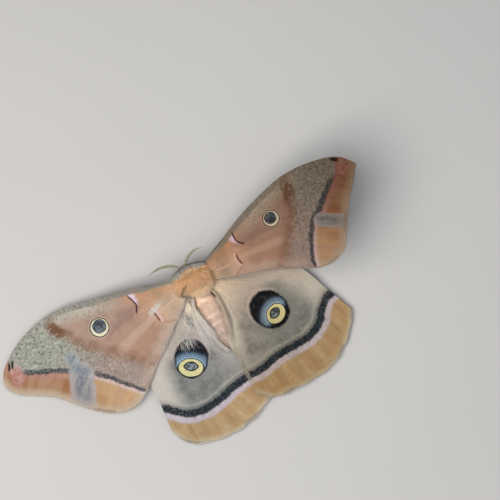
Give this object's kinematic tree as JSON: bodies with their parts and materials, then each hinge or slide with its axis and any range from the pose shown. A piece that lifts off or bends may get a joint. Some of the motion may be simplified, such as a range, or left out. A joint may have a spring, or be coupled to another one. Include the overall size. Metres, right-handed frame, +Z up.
{
  "type": "polyphemus moth",
  "caption": "Life-size still model of a large silk moth resting with its wings spread, with feathered feelers, raised wing veins and a woolly thorax.",
  "frame": {"origin": "on the floor, under the middle of the whole moth's box", "axes": "+X towards the moth's left wing tip, +Y towards its tail, +Z up"},
  "size_m": [0.1436, 0.0698, 0.0332],
  "materials": {
    "head": "woolly, dark brown",
    "thorax": "orange-tan wool",
    "abdomen": "short pinkish-tan wool",
    "eye": "dark, glossy",
    "antenna": "matt, ochre brown",
    "forewing": "fine matt scales, tan with an eyespot",
    "hindwing": "fine matt scales, grey-tan with a black and yellow eyespot",
    "leg": "hairy, orange-brown"
  },
  "bodies": {
    "root": {"head": "head", "thorax": "thorax", "abdomen": "abdomen", "eye_left": "eye", "eye_right": "eye", "antenna_left": "antenna", "antenna_right": "antenna", "forewing_left": "forewing", "forewing_right": "forewing", "hindwing_left": "hindwing", "hindwing_right": "hindwing", "leg_front_left": "leg", "leg_front_right": "leg", "leg_mid_left": "leg", "leg_mid_right": "leg", "leg_hind_left": "leg", "leg_hind_right": "leg"}
  },
  "joints": []
}
